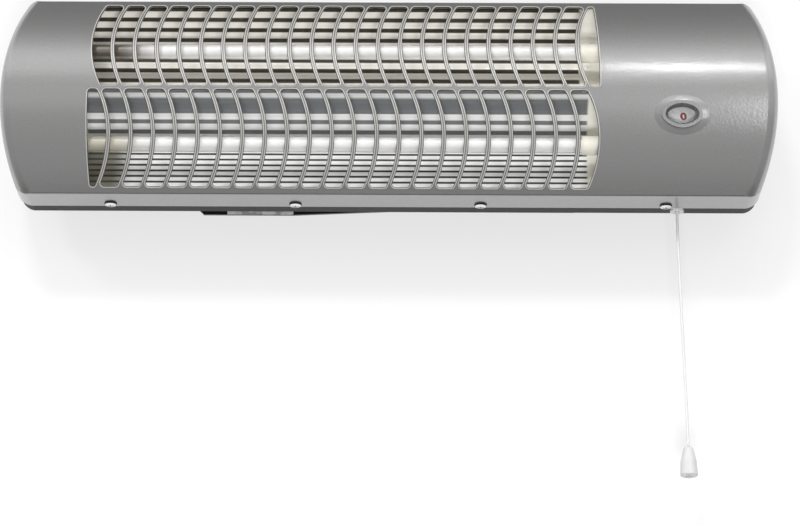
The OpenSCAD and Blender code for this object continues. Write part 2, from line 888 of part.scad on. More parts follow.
module window_bezel() {
    hole_w = bezel_w - 2 * bezel_lip - 2 * hole_gap;
    hole_h = bezel_h - 2 * bezel_lip - 2 * hole_gap;
    in_w = bezel_w - 2 * bezel_band;
    in_h = bezel_h - 2 * bezel_band;
    taper = 1.8;
    lens_z = bezel_front - bezel_deep;
    color("darkgray") on_body() window_frame() difference() {
        union() {
            translate([0, 0, bezel_seat]) linear_extrude(bezel_flange_t) oval(bezel_w, bezel_h);
            translate([0, 0, lens_z]) linear_extrude(bezel_deep - eps) oval(hole_w, hole_h);
        }
        translate([0, 0, lens_z - eps]) linear_extrude(bezel_deep + 2 * eps) oval(in_w, in_h);
        hull() {
            translate([0, 0, lens_z + lens_t + 1]) linear_extrude(0.1) oval(in_w, in_h, $fn = 32);
            translate([0, 0, bezel_front]) linear_extrude(0.1)
                oval(in_w + 2 * taper, in_h + 2 * taper, $fn = 32);
        }
        translate([0, 0, lens_z - eps]) linear_extrude(lens_t + eps)
            oval(in_w + 2 * lens_rim, in_h + 2 * lens_rim);
    }
}

module window_lens() {
    in_w = bezel_w - 2 * bezel_band;
    in_h = bezel_h - 2 * bezel_band;
    seat = 2 * lens_rim - 0.1;
    color("aliceblue") on_body() window_frame() translate([0, 0, bezel_front - bezel_deep])
        linear_extrude(lens_t) oval(in_w + seat, in_h + seat);
}

module indicator_dial() {
    color("white") on_body() {
        rod_y(dial_x, dial_z, dial_d, dial_front_y + dial_t, dial_front_y);
        rod_y(dial_x, dial_z, hub_d, switch_front_y - hub_gap, dial_front_y + dial_t / 2);
        rod_y(dial_x, dial_z, spindle_d, switch_front_y + spindle_in, dial_front_y + dial_t / 2);
    }
}

// ---------------------------------------------------------------- pull switch

module switch_housing() {
    color("#3a3a3a") on_body() difference() {
        translate([switch_x - switch_w / 2, switch_front_y, switch_foot_z])
            cube([switch_w, switch_deep, switch_top_z - switch_foot_z]);
        rod_y(dial_x, dial_z, spindle_d + 2 * spindle_fit,
            switch_front_y + spindle_in + hub_gap, switch_front_y - eps);
        translate([switch_x, cord_y, switch_foot_z - eps])
            cylinder(d = rod_d + 2 * rod_fit, h = rod_guide + 2 * eps);
        translate([switch_x, cord_y, chamber_z]) cylinder(d = chamber_d, h = chamber_h);
    }
}

// An angle on top of the switch holds it to the casing's back
module switch_bracket() {
    w = 24;
    t = 1.2;
    reach = 22;
    foot = 14;
    color("gainsboro") on_body() translate([switch_x - w / 2, casing_front_y, switch_top_z]) {
        translate([0, -reach, 0]) cube([w, reach, t]);
        translate([0, -t, 0]) cube([w, t, foot]);
    }
}

module pull_rod() {
    color("white") on_body() translate([switch_x, cord_y, 0]) {
        translate([0, 0, cord_top_z]) cylinder(d = rod_d, h = rod_head_z - cord_top_z + eps);
        translate([0, 0, rod_head_z]) cylinder(d = rod_head_d, h = rod_head_h);
    }
}

// A point of the spring's wire, t turns up
function spring_point(t, rise, r) = [r * cos(360 * t), r * sin(360 * t), rise * t];

module return_spring() {
    steps = 10;
    count = spring_turns * steps;
    seat = spring_wire / 2 + 0.05;
    rise = (rod_head_z - chamber_z - 2 * seat) / spring_turns;
    r = (rod_head_d - spring_wire) / 2;
    path = [for (i = [0 : count]) spring_point(i / steps, rise, r)];
    color("silver") on_body() translate([switch_x, cord_y, chamber_z + seat])
        swept_tube(path, spring_wire, 6);
}

// What is left of v square to the unit vector t
function square_to(v, t) = v - (v * t) * t;

// A round tube swept along a route, one ring at each point
module swept_tube(route, d, sides) {
    last = len(route) - 1;
    tangent = [
        for (i = [0 : last])
            let (v = route[min(i + 1, last)] - route[max(i - 1, 0)])
            v / norm(v)
    ];
    // The side direction is carried along from ring to ring, so that none twists
    first = cross(tangent[0], abs(tangent[0][2]) > 0.7 ? [0, 1, 0] : [0, 0, 1]);
    side = [
        for (i = 0, v = first; i <= last; i = i + 1, v = i <= last ? square_to(v, tangent[i]) : v)
            v / norm(v)
    ];
    rings = [
        for (i = [0 : last], k = [0 : sides - 1])
            let (a = 360 * k / sides)
            route[i] + d / 2 * (cos(a) * side[i] + sin(a) * cross(tangent[i], side[i]))
    ];
    walls = [
        for (i = [0 : last - 1], k = [0 : sides - 1])
            let (n = (k + 1) % sides)
            [i * sides + k, (i + 1) * sides + k, (i + 1) * sides + n, i * sides + n]
    ];
    split = [for (q = walls, t = [0, 1]) t == 0 ? [q[0], q[1], q[2]] : [q[0], q[2], q[3]]];
    first_cap = [for (k = [1 : sides - 2]) [0, k, k + 1]];
    base = last * sides;
    last_cap = [for (k = [1 : sides - 2]) [base, base + k + 1, base + k]];
    polyhedron(points = rings, faces = concat(split, first_cap, last_cap), convexity = 10);
}

// ---------------------------------------------------------------- cord

module cord_bush() {
    color("ivory") on_body() translate([switch_x, cord_y, casing_floor_z]) difference() {
        union() {
            translate([0, 0, -bush_flange_h]) cylinder(d = bush_d, h = bush_flange_h);
            cylinder(d = bush_body_d, h = bush_body_h);
        }
        translate([0, 0, -bush_flange_h - eps])
            cylinder(d = bush_bore_d, h = bush_flange_h + bush_body_h + 2 * eps);
    }
}

module pull_cord() {
    color("white") on_body() swept_tube(cord_route, cord_d, cord_sides);
}

module pull_knob() {
    shoulder = 0.5 * knob_h;
    foot_round = 0.8;
    color("white") on_body() translate([switch_x + cord_set, cord_y, cord_foot_z - knob_h])
        rotate_extrude() difference() {
            polygon([
                [0, 0], [knob_d / 2 - foot_round, 0], [knob_d / 2, foot_round],
                [knob_d / 2 - 0.6, shoulder], [knob_top_d / 2, knob_h - 1],
                [knob_top_d / 2 - 1, knob_h], [0, knob_h]
            ]);
            translate([0, -knob_hollow_drop]) circle(knob_hollow_r);
        }
}

// The knot lies in the hollow of the knob's foot and stands a little out of it
module cord_knot() {
    top = sqrt(pow(knob_hollow_r, 2) - pow(knot_d / 2, 2)) - knob_hollow_drop - 0.05;
    color("white") on_body() translate([switch_x + cord_set, cord_y, cord_foot_z - knob_h - knot_out])
        cylinder(d = knot_d, h = top + knot_out);
}

// ---------------------------------------------------------------- mains entry and wiring

module cable_gland() {
    color("#1f1f1f") on_body() difference() {
        union() {
            rod_y(gland_x, gland_z, gland_d, back_y + gland_out, casing_front_y - gland_in);
            hex_y(gland_hex, back_y + gland_hex_h, back_y);
        }
        rod_y(gland_x, gland_z, gland_bore_d, back_y + gland_out + eps, casing_front_y - gland_in - eps);
    }
}

module gland_nut() {
    color("#1f1f1f") on_body() difference() {
        hex_y(gland_hex, casing_front_y, casing_front_y - gland_nut_h);
        rod_y(gland_x, gland_z, gland_d + hole_gap,
            casing_front_y + eps, casing_front_y - gland_nut_h - eps);
    }
}

// A hexagon round the gland's axis from y0 towards the room to y1
module hex_y(d, y0, y1) {
    translate([gland_x, y0, gland_z]) rotate([90, 0, 0]) cylinder(d = d, h = y0 - y1, $fn = 6);
}

module terminal_places() {
    for (i = [0 : terminal_ways - 1]) {
        z = terminal_z + (i - (terminal_ways - 1) / 2) * terminal_way;
        translate([terminal_x, casing_front_y - terminal_size[1], z]) children();
    }
}

module terminal_block() {
    x0 = terminal_x - terminal_size[0] / 2;
    z0 = terminal_z - terminal_size[2] / 2;
    color("white") on_body() difference() {
        translate([x0, casing_front_y - terminal_size[1], z0]) cube(terminal_size);
        terminal_places() {
            for (s = [1, -1]) translate([s * terminal_screw_x, 0, 0])
                rod_y(0, 0, terminal_screw_d + hole_gap, terminal_size[1] / 2 + eps, -eps);
            rod_x(terminal_size[1] / 2, 0, terminal_wire_d, -terminal_size[0], terminal_size[0]);
        }
    }
}

module terminal_screws() {
    top = 0.5;
    slot_w = 0.8;
    length = terminal_size[1] / 2 - terminal_wire_d / 2;
    color("goldenrod") on_body() terminal_places() for (s = [1, -1])
        translate([s * terminal_screw_x, 0, 0]) difference() {
            rod_y(0, 0, terminal_screw_d, length, top);
            translate([-terminal_screw_d, -eps, -slot_w / 2]) cube([2 * terminal_screw_d, 1.8, slot_w]);
        }
}

module thermal_cutout() {
    base_h = 6;
    can_h = 11;
    can_d = 11;
    tab = [0.8, 7, 6];
    color("#b9a06a") on_body() {
        rod_y(cutout_x, cutout_z, cutout_d, casing_front_y, casing_front_y - base_h);
        rod_y(cutout_x, cutout_z, can_d, casing_front_y - base_h + eps, casing_front_y - can_h);
        for (s = [1, -1])
            translate([cutout_x + s * cutout_tab_x, casing_front_y - cutout_h, cutout_z])
                translate([-tab[0] / 2, 0, -tab[2] / 2]) cube(tab + [0, eps, 0]);
    }
}

module earth_screw() {
    length = 8;
    nut_d = 8;
    nut_h = 3.2;
    head_d = 8;
    head_h = 2.5;
    color("goldenrod") on_body() {
        rod_y(earth_x, earth_z, earth_d, back_y + eps, casing_front_y - length);
        rod_y(earth_x, earth_z, head_d, back_y + head_h, back_y);
        translate([earth_x, casing_front_y, earth_z]) rotate([90, 0, 0])
            cylinder(d = nut_d, h = nut_h, $fn = 6);
    }
}

// Leads run behind the ridge of the reflector and from the tubes' ends, the terminals
// and the cut-out to the switch
module internal_wiring() {
    run_y = ridge_y + lead_run;
    left_x = cap_x0(-1) - pin_out;
    right_x = cap_x0(1) + cap_l + pin_out;
    switch_left = switch_x - switch_w / 2;
    switch_right = switch_x + switch_w / 2;
    block_left = terminal_x - terminal_size[0] / 2;
    block_y = casing_front_y - terminal_size[1] / 2;
    tab_x = cutout_x + cutout_tab_x;
    tab_y = casing_front_y - cutout_h;
    half_bend = lead_bend / 2;
    color("firebrick") on_body() {
        for (row = [1, -1]) {
            z = row * tube_z - coil_drop;
            block_z = terminal_z + row * terminal_way;
            side_z = row * lead_side;
            swept_tube([
                [left_x, tube_y, z], [left_x - half_bend, tube_y, z],
                [left_x - lead_bend, tube_y + lead_bend, z - row * lead_bend],
                [left_x - lead_bend, run_y, side_z + row * half_bend],
                [left_x + half_bend, run_y, row * half_bend],
                [left_x + 3 * lead_bend, run_y, row * lead_d],
                [cheek_right_x + lead_bend, run_y, row * lead_d], [switch_left, run_y, row * lead_d]
            ], lead_d, 8);
            swept_tube([
                [right_x, tube_y, z], [right_x + half_bend, tube_y, z],
                [right_x + lead_bend, tube_y + lead_bend, z - row * lead_side],
                [switch_left - half_bend, tube_y + lead_side, side_z],
                [switch_left, tube_y + lead_side, side_z]
            ], lead_d, 8);
            swept_tube([
                [block_left, block_y, block_z], [block_left - half_bend, block_y, block_z],
                [switch_right + lead_bend, block_y - lead_bend, side_z],
                [switch_right, block_y - lead_bend, side_z]
            ], lead_d, 8);
        }
        swept_tube([
            [tab_x, tab_y, cutout_z], [tab_x, tab_y - half_bend, cutout_z],
            [switch_left + half_bend, tab_y - lead_bend, cutout_z - 2 * lead_bend],
            [switch_left + half_bend, tab_y - lead_bend, switch_top_z + lead_bend],
            [switch_left + half_bend, tab_y - lead_bend, switch_top_z]
        ], lead_d, 8);
    }
}

wall_bracket();
pivot_bolts();
friction_washers();
lock_nuts();
tilt_lugs();
lug_rivets();
rear_casing();
front_cover();
cover_screws();
reflector();
reflector_cheek_left();
reflector_cheek_right();
quartz_tube_upper();
quartz_tube_lower();
heating_coil_upper();
heating_coil_lower();
ceramic_caps();
window_bezel();
window_lens();
indicator_dial();
switch_housing();
switch_bracket();
pull_rod();
return_spring();
cord_bush();
pull_cord();
pull_knob();
cord_knot();
cable_gland();
gland_nut();
terminal_block();
terminal_screws();
thermal_cutout();
earth_screw();
internal_wiring();
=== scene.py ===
# A two-tube quartz bathroom heater on its wall, lit as in a plain product photograph.
import math

import bmesh
import bpy
from mathutils import Matrix, Vector

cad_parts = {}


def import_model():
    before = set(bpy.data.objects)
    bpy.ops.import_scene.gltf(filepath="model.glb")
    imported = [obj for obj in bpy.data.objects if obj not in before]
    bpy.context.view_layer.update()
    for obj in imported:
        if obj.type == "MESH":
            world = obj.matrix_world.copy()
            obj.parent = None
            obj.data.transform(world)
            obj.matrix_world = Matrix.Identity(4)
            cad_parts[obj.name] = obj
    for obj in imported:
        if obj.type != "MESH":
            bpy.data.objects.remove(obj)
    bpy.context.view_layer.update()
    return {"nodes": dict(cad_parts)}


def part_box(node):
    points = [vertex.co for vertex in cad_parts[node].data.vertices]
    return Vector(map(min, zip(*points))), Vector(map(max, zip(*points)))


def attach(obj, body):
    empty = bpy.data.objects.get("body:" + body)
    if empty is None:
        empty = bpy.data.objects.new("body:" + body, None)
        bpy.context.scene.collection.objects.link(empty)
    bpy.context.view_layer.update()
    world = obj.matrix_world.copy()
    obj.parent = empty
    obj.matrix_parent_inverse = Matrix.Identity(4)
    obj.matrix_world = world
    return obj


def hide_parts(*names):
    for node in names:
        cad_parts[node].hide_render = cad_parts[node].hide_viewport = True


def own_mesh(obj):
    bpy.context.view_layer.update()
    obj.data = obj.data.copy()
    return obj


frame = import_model()
nodes = frame["nodes"]
scene = bpy.context.scene
scene.view_settings.view_transform = "Standard"

MM = 0.001
# Heights of the heater are above its own middle, which stands this far above the bracket's
BODY_Z = 20.0

# ------------------------------------------------------------------ camera

CAMERA_AT = (0.02684, -1.7254, -0.6759)
CAMERA_PITCH, CAMERA_YAW, CAMERA_ROLL = 19.20, -0.63, 0.463
CAMERA_LENS, CAMERA_SENSOR = 119.1, 36.0


def make_camera():
    """The camera at the photograph's viewing angle, below the heater and looking up at it."""
    pitch, yaw, roll = (math.radians(a) for a in (CAMERA_PITCH, CAMERA_YAW, CAMERA_ROLL))
    ahead = Vector((math.sin(yaw) * math.cos(pitch), math.cos(yaw) * math.cos(pitch), math.sin(pitch)))
    right = Vector((math.cos(yaw), -math.sin(yaw), 0.0))
    up = right.cross(ahead)
    x = right * math.cos(roll) + up * math.sin(roll)
    y = up * math.cos(roll) - right * math.sin(roll)
    data = bpy.data.cameras.new("camera")
    data.sensor_width = CAMERA_SENSOR
    data.lens = CAMERA_LENS
    cam = bpy.data.objects.new("camera", data)
    scene.collection.objects.link(cam)
    m = Matrix((x, y, -ahead)).transposed().to_4x4()
    m.translation = Vector(CAMERA_AT)
    cam.matrix_world = m
    scene.camera = cam


make_camera()

# ------------------------------------------------------------------ mesh helpers


def mesh_object(name, verts, faces, smooth=True):
    """A new object from points in metres, with its faces turned outward."""
    mesh = bpy.data.meshes.new(name)
    mesh.from_pydata([tuple(v) for v in verts], [], faces)
    mesh.update()
    bm = bmesh.new()
    bm.from_mesh(mesh)
    bmesh.ops.recalc_face_normals(bm, faces=bm.faces)
    bm.to_mesh(mesh)
    bm.free()
    for p in mesh.polygons:
        p.use_smooth = smooth
    obj = bpy.data.objects.new(name, mesh)
    scene.collection.objects.link(obj)
    return obj


def ring_points(centre, across, along, steps):
    """Points round centre, where across and along are the two half axes of the ring."""
    turns = [2 * math.pi * k / steps for k in range(steps)]
    return [centre + across * math.cos(a) + along * math.sin(a) for a in turns]


def ring_faces(count, sides, closed):
    """Faces between rings of points that follow each other, the last joined to the first if closed."""
    faces = []
    for i in range(count if closed else count - 1):
        j = (i + 1) % count
        for k in range(sides):
            n = (k + 1) % sides
            faces.append((i * sides + k, j * sides + k, j * sides + n, i * sides + n))
    return faces


def capped_faces(count, sides):
    """The faces of a tube or bar with both its ends closed."""
    last = (count - 1) * sides
    return ring_faces(count, sides, False) + [tuple(range(sides)), tuple(last + k for k in range(sides))]


def turned_ring(name, profile, centre):
    """A turned ring about Z: profile is a closed loop of (radius, height) in mm."""
    steps = 64
    verts = []
    for r, h in profile:
        verts += ring_points((Vector(centre) + Vector((0, 0, h))) * MM, Vector((r * MM, 0, 0)),
                             Vector((0, r * MM, 0)), steps)
    return mesh_object(name, verts, ring_faces(len(profile), steps, True))


def set_stops(ramp, stops):
    """Gives a colour ramp its (place, colour) stops."""
    while len(ramp.elements) < len(stops):
        ramp.elements.new(0.5)
    for e, (place, colour) in zip(ramp.elements, stops):
        e.position = place
        e.color = (*colour, 1.0)


# ------------------------------------------------------------------ materials


class Look:
    """A node material on one Principled shader, with small helpers for its textures."""

    def __init__(self, name, colour, rough, metallic=0.0, **sockets):
        self.mat = bpy.data.materials.new(name)
        self.mat.use_nodes = True
        self.tree = self.mat.node_tree
        self.bsdf = self.tree.nodes["Principled BSDF"]
        self.colour = colour
        self.rough = rough
        self.bsdf.inputs["Base Color"].default_value = (*colour, 1.0)
        self.bsdf.inputs["Roughness"].default_value = rough
        self.bsdf.inputs["Metallic"].default_value = metallic
        for key, value in sockets.items():
            self.bsdf.inputs[key.replace("_", " ")].default_value = value
        self.coords = self.node("ShaderNodeTexCoord").outputs["Object"]
        self.last_bump = None

    def node(self, kind, **props):
        n = self.tree.nodes.new(kind)
        for key, value in props.items():
            setattr(n, key, value)
        return n

    def link(self, a, b):
        self.tree.links.new(a, b)

    def stretch(self, factors):
        m = self.node("ShaderNodeMapping")
        m.inputs["Scale"].default_value = factors
        self.link(self.coords, m.inputs["Vector"])
        return m.outputs["Vector"]

    def noise(self, size_mm, detail=4.0, stretch=(1, 1, 1), distortion=0.0):
        n = self.node("ShaderNodeTexNoise")
        n.inputs["Scale"].default_value = 1000.0 / size_mm
        n.inputs["Detail"].default_value = detail
        n.inputs["Roughness"].default_value = 0.55
        n.inputs["Distortion"].default_value = distortion
        self.link(self.stretch(stretch), n.inputs["Vector"])
        return n.outputs["Fac"]

    def cells(self, size_mm):
        n = self.node("ShaderNodeTexVoronoi", feature="SMOOTH_F1")
        n.inputs["Scale"].default_value = 1000.0 / size_mm
        n.inputs["Smoothness"].default_value = 0.6
        self.link(self.coords, n.inputs["Vector"])
        return n.outputs["Distance"]

    def ramp(self, fac, stops):
        r = self.node("ShaderNodeValToRGB")
        set_stops(r.color_ramp, stops)
        self.link(fac, r.inputs["Fac"])
        return r.outputs["Color"]

    def mix(self, fac, a, b):
        m = self.node("ShaderNodeMix", data_type="RGBA")
        for value, socket in ((fac, m.inputs[0]), (a, m.inputs[6]), (b, m.inputs[7])):
            if hasattr(value, "is_output"):
                self.link(value, socket)
            else:
                socket.default_value = value if isinstance(value, float) else (*value, 1.0)
        return m.outputs[2]

    def blend(self, fac, a, b):
        m = self.node("ShaderNodeMix", data_type="FLOAT")
        for value, socket in ((fac, m.inputs[0]), (a, m.inputs[2]), (b, m.inputs[3])):
            self.link(value, socket)
        return m.outputs[0]

    def times(self, a, b):
        m = self.node("ShaderNodeMath", operation="MULTIPLY")
        self.link(a, m.inputs[0])
        self.link(b, m.inputs[1])
        return m.outputs[0]

    def flip(self, fac):
        m = self.node("ShaderNodeMath", operation="SUBTRACT")
        m.inputs[0].default_value = 1.0
        self.link(fac, m.inputs[1])
        return m.outputs[0]

    def spread(self, fac, low, high):
        m = self.node("ShaderNodeMapRange")
        m.inputs["To Min"].default_value = low
        m.inputs["To Max"].default_value = high
        self.link(fac, m.inputs["Value"])
        return m.outputs["Result"]

    def window(self, axis, low_mm, high_mm):
        """0 below low and 1 above high along X, Y or Z of the object, smooth between."""
        s = self.node("ShaderNodeSeparateXYZ")
        self.link(self.coords, s.inputs["Vector"])
        return self.edge(s.outputs[axis], low_mm * MM, high_mm * MM)

    def lines(self, per_y, per_z, start):
        """A wave from 0 to 1 across Y and Z: cycles in each mm along them, and the cycle at the origin."""
        along = self.node("ShaderNodeVectorMath", operation="DOT_PRODUCT")
        along.inputs[1].default_value = (0.0, per_y / MM, per_z / MM)
        self.link(self.coords, along.inputs[0])
        turn = self.node("ShaderNodeMath", operation="MULTIPLY_ADD")
        turn.inputs[1].default_value = 2 * math.pi
        turn.inputs[2].default_value = 2 * math.pi * start
        self.link(along.outputs["Value"], turn.inputs[0])
        wave = self.node("ShaderNodeMath", operation="COSINE")
        self.link(turn.outputs[0], wave.inputs[0])
        half = self.node("ShaderNodeMath", operation="MULTIPLY_ADD")
        half.inputs[1].default_value = 0.5
        half.inputs[2].default_value = 0.5
        self.link(wave.outputs[0], half.inputs[0])
        return half.outputs[0]

    def edge(self, fac, low, high):
        """0 where fac is under low and 1 over high, smooth between."""
        m = self.node("ShaderNodeMapRange", interpolation_type="SMOOTHSTEP")
        m.inputs["From Min"].default_value = low
        m.inputs["From Max"].default_value = high
        self.link(fac, m.inputs["Value"])
        return m.outputs["Result"]

    def inward(self):
        """1 where the surface looks back towards the wall, 0 where it looks out into the room."""
        s = self.node("ShaderNodeSeparateXYZ")
        n = self.node("ShaderNodeTexCoord")
        self.link(n.outputs["Normal"], s.inputs["Vector"])
        m = self.node("ShaderNodeMapRange")
        m.inputs["From Min"].default_value = 0.3
        m.inputs["From Max"].default_value = 0.5
        self.link(s.outputs["Y"], m.inputs["Value"])
        return m.outputs["Result"]

    def mottle(self, fac, amount):
        """Makes the colour vary by the texture, a little lighter and darker."""
        low = tuple(c * (1 - amount) for c in self.colour)
        high = tuple(min(1.0, c * (1 + amount)) for c in self.colour)
        out = self.mix(fac, low, high)
        self.colour_from(out)
        return out

    def vary_rough(self, fac, amount):
        """Makes the roughness vary by the texture, by amount either way."""
        out = self.spread(fac, max(0.02, self.rough - amount), min(1.0, self.rough + amount))
        self.link(out, self.bsdf.inputs["Roughness"])

    def bump(self, fac, height_mm, strength):
        """Raises the surface by the texture, on top of the bumps before."""
        b = self.node("ShaderNodeBump")
        b.inputs["Strength"].default_value = strength
        b.inputs["Distance"].default_value = height_mm * MM
        self.link(fac, b.inputs["Height"])
        if self.last_bump:
            self.link(self.last_bump, b.inputs["Normal"])
        self.last_bump = b.outputs["Normal"]
        self.link(self.last_bump, self.bsdf.inputs["Normal"])

    def colour_from(self, out):
        self.link(out, self.bsdf.inputs["Base Color"])


def enamel():
    """Silver-grey stoved enamel: fine flakes under a slightly rippled gloss."""
    k = Look("silver_enamel", (0.245, 0.245, 0.242), 0.44, 0.7,
             Coat_Weight=1.0, Coat_Roughness=0.17, Coat_IOR=2.5)
    flakes = k.mottle(k.noise(0.45, 2.0), 0.22)
    # The side towards the wall is bare steel, painted darker still as the shade inside the heater.
    k.colour_from(k.mix(k.inward(), flakes, (0.12, 0.12, 0.115)))
    k.vary_rough(k.noise(9.0, 3.0), 0.05)
    k.bump(k.cells(1.7), 0.04, 0.8)
    k.bump(k.noise(0.8, 2.0), 0.006, 0.6)
    k.link(k.last_bump, k.bsdf.inputs["Coat Normal"])
    return k.mat


def rolled_lip_highlight():
    """The rolled lip round each slot, painted much lighter than the enamel as a highlight along it."""
    k = Look("rolled_lip_highlight", (0.74, 0.73, 0.70), 0.3, 0.7, Coat_Weight=0.5, Coat_Roughness=0.1)
    k.mottle(k.noise(0.6, 2.0), 0.12)
    k.bump(k.noise(1.2, 2.0), 0.006, 0.5)
    return k.mat


def cut_edge():
    """Painted shade on the sheet's edge just inside a slot: a dark colour that stands for the shade there."""
    k = Look("cut_edge", (0.055, 0.05, 0.042), 0.5, 0.3)
    k.mottle(k.noise(0.8, 3.0), 0.2)
    k.bump(k.noise(0.6, 2.0), 0.008, 0.5)
    return k.mat


def casing_paint():
    k = Look("casing_paint", (0.032, 0.032, 0.033), 0.5, 0.0, Specular_IOR_Level=0.25)
    k.mottle(k.noise(1.0, 3.0), 0.2)
    k.vary_rough(k.noise(6.0, 3.0), 0.06)
    k.bump(k.cells(1.1), 0.012, 0.7)
    return k.mat


def black_paint():
    k = Look("black_paint", (0.012, 0.012, 0.013), 0.34, 0.0, Coat_Weight=0.25, Coat_Roughness=0.2)
    k.mottle(k.noise(2.0, 3.0), 0.3)
    k.bump(k.cells(0.9), 0.012, 0.7)
    k.vary_rough(k.noise(5.0, 3.0), 0.08)
    return k.mat


# The reflector's zones, in mm of its own coordinates, two of them painted shade
UPPER_FROM_Z = (19, 21)
RIBS_UNDER_Z = (-12.2, -11.2)
SHADE_FROM_Z, SHADE_TO_Z = (10.6, 12.0), (16.6, 18.0)
SHADED_END_X = (-189, -172)
PLAIN_FROM_X_LOWER, PLAIN_FROM_X_UPPER = (134, 136), (129.5, 131.5)
# Its bands of painted reflection, which also set the ridges of its bump: cycles in each mm along Y and Z, and
# the cycle at the origin
TROUGH_RIDGE_BANDS = (0.0553, -0.132, 14.45)
RIB_RIDGE_BANDS = (0.1046, -0.2495, 0.98)


def polished_aluminium():
    """Rolled reflector sheet with its reflections painted in: bright and dark bands along X over a slight
    ridged bump, close together under the lower tube; painted shade in a band high in the lower trough and at
    the left end under the lower tube; plain cream at the right end.
    """
    k = Look("polished_aluminium", (0.96, 0.94, 0.89), 0.2, 0.12, Anisotropic=0.9)
    grain = k.node("ShaderNodeCombineXYZ")
    grain.inputs["X"].default_value = 1.0
    k.link(grain.outputs["Vector"], k.bsdf.inputs["Tangent"])
    upper = k.window("Z", *UPPER_FROM_Z)
    ribbed = k.flip(k.window("Z", *RIBS_UNDER_Z))
    bright = k.mix(upper, (0.98, 0.98, 0.97), (1.0, 0.98, 0.91))
    dark = k.mix(upper, k.mix(ribbed, (0.2, 0.205, 0.21), (0.05, 0.05, 0.045)), (0.05, 0.04, 0.028))
    # Painted shade: a darker band high in the lower trough.
    shade = k.times(k.window("Z", *SHADE_FROM_Z), k.flip(k.window("Z", *SHADE_TO_Z)))
    bright = k.mix(shade, bright, (0.18, 0.19, 0.205))
    # Painted shade at the left end under the lower tube.
    left_end_shade = k.times(k.flip(k.window("X", *SHADED_END_X)), ribbed)
    bright = k.mix(left_end_shade, bright, (0.22, 0.21, 0.155))
    streak = k.edge(k.noise(0.9, 3.0, (0.004, 1.0, 1.0)), 0.35, 0.6)
    bright = k.mix(streak, k.mix(0.88, dark, bright), bright)
    # Painted reflections: bright and dark bands across the sheet, which also drive its ridged bump.
    coarse = k.edge(k.lines(*TROUGH_RIDGE_BANDS), 0.22, 0.5)
    fine = k.edge(k.lines(*RIB_RIDGE_BANDS), 0.12, 0.45)
    ridges_and_painted_bands = k.blend(ribbed, coarse, fine)
    plain = k.blend(upper, k.window("X", *PLAIN_FROM_X_LOWER), k.window("X", *PLAIN_FROM_X_UPPER))
    k.colour_from(k.mix(plain, k.mix(ridges_and_painted_bands, dark, bright), (0.97, 0.95, 0.88)))
    k.bump(ridges_and_painted_bands, 0.12, 0.6)
    k.vary_rough(streak, 0.02)
    return k.mat


def cheek_metal():
    k = Look("cheek_aluminium", (0.96, 0.94, 0.87), 0.26, 0.3)
    k.mottle(k.noise(10.0, 3.0), 0.08)
    k.vary_rough(k.noise(3.0, 3.0), 0.06)
    k.bump(k.noise(0.6, 4.0, (1, 0.05, 1)), 0.004, 0.5)
    return k.mat


def milky_quartz(shaded_to, end_shade):
    """Milky quartz, its left end painted darker as shade, up to the X given in mm."""
    fade = 34
    k = Look("milky_quartz", (0.96, 0.955, 0.94), 0.1, 0.05,
             Coat_Weight=1.0, Coat_Roughness=0.03, Coat_IOR=2.3)
    cloud = k.mix(k.noise(7.0, 4.0, (0.3, 1, 1)), (0.94, 0.935, 0.92), (0.99, 0.985, 0.975))
    k.colour_from(k.mix(k.window("X", shaded_to - fade, shaded_to), end_shade, cloud))
    k.vary_rough(k.noise(2.0, 3.0), 0.03)
    k.bump(k.noise(3.0, 2.0, (0.2, 1, 1)), 0.006, 0.4)
    return k.mat


def ceramic():
    k = Look("cream_ceramic", (0.88, 0.85, 0.75), 0.5)
    k.mottle(k.noise(2.5, 4.0), 0.07)
    k.bump(k.noise(0.5, 4.0), 0.01, 0.6)
    k.vary_rough(k.noise(1.5, 3.0), 0.08)
    return k.mat


def chrome(name="chrome_plate", rough=0.09, colour=(0.80, 0.80, 0.81), metallic=1.0):
    k = Look(name, colour, rough, metallic)
    k.mottle(k.noise(1.5, 3.0), 0.05)
    k.vary_rough(k.noise(0.8, 3.0), 0.04)
    k.bump(k.noise(1.0, 2.0), 0.003, 0.4)
    return k.mat


def bare_metal():
    k = Look("bare_plate", (0.80, 0.80, 0.79), 0.3, 0.35)
    worn, plain, bright = (0.45, 0.45, 0.45), (0.86, 0.86, 0.85), (0.90, 0.90, 0.89)
    k.colour_from(k.ramp(k.noise(5.0, 3.0, (0.5, 1, 1)), [(0.4, worn), (0.5, plain), (0.75, bright)]))
    k.bump(k.noise(2.0, 3.0), 0.03, 0.5)
    return k.mat


def zinc():
    k = Look("zinc_plate", (0.60, 0.61, 0.60), 0.32, 1.0)
    dull, warm, blue = (0.52, 0.53, 0.53), (0.66, 0.66, 0.62), (0.58, 0.60, 0.64)
    k.colour_from(k.ramp(k.noise(4.0, 4.0), [(0.3, dull), (0.6, warm), (0.8, blue)]))
    k.vary_rough(k.noise(1.2, 3.0), 0.08)
    k.bump(k.noise(0.5, 3.0), 0.006, 0.5)
    return k.mat


def brass():
    k = Look("brass", (0.70, 0.55, 0.27), 0.28, 1.0)
    k.mottle(k.noise(2.0, 4.0), 0.12)
    k.bump(k.noise(0.5, 3.0), 0.005, 0.5)
    return k.mat


def wire_metal():
    k = Look("heating_wire", (0.22, 0.19, 0.17), 0.5, 0.9)
    k.mottle(k.noise(1.0, 4.0), 0.25)
    k.bump(k.noise(0.4, 3.0), 0.01, 0.6)
    return k.mat


def plastic(name, colour, rough, grain_mm=0.7, depth=0.012, **sockets):
    k = Look(name, colour, rough, 0.0, **sockets)
    k.mottle(k.noise(6.0, 3.0), 0.04)
    k.vary_rough(k.noise(2.0, 3.0), 0.06)
    k.bump(k.noise(grain_mm, 3.0), depth, 0.6)
    return k.mat


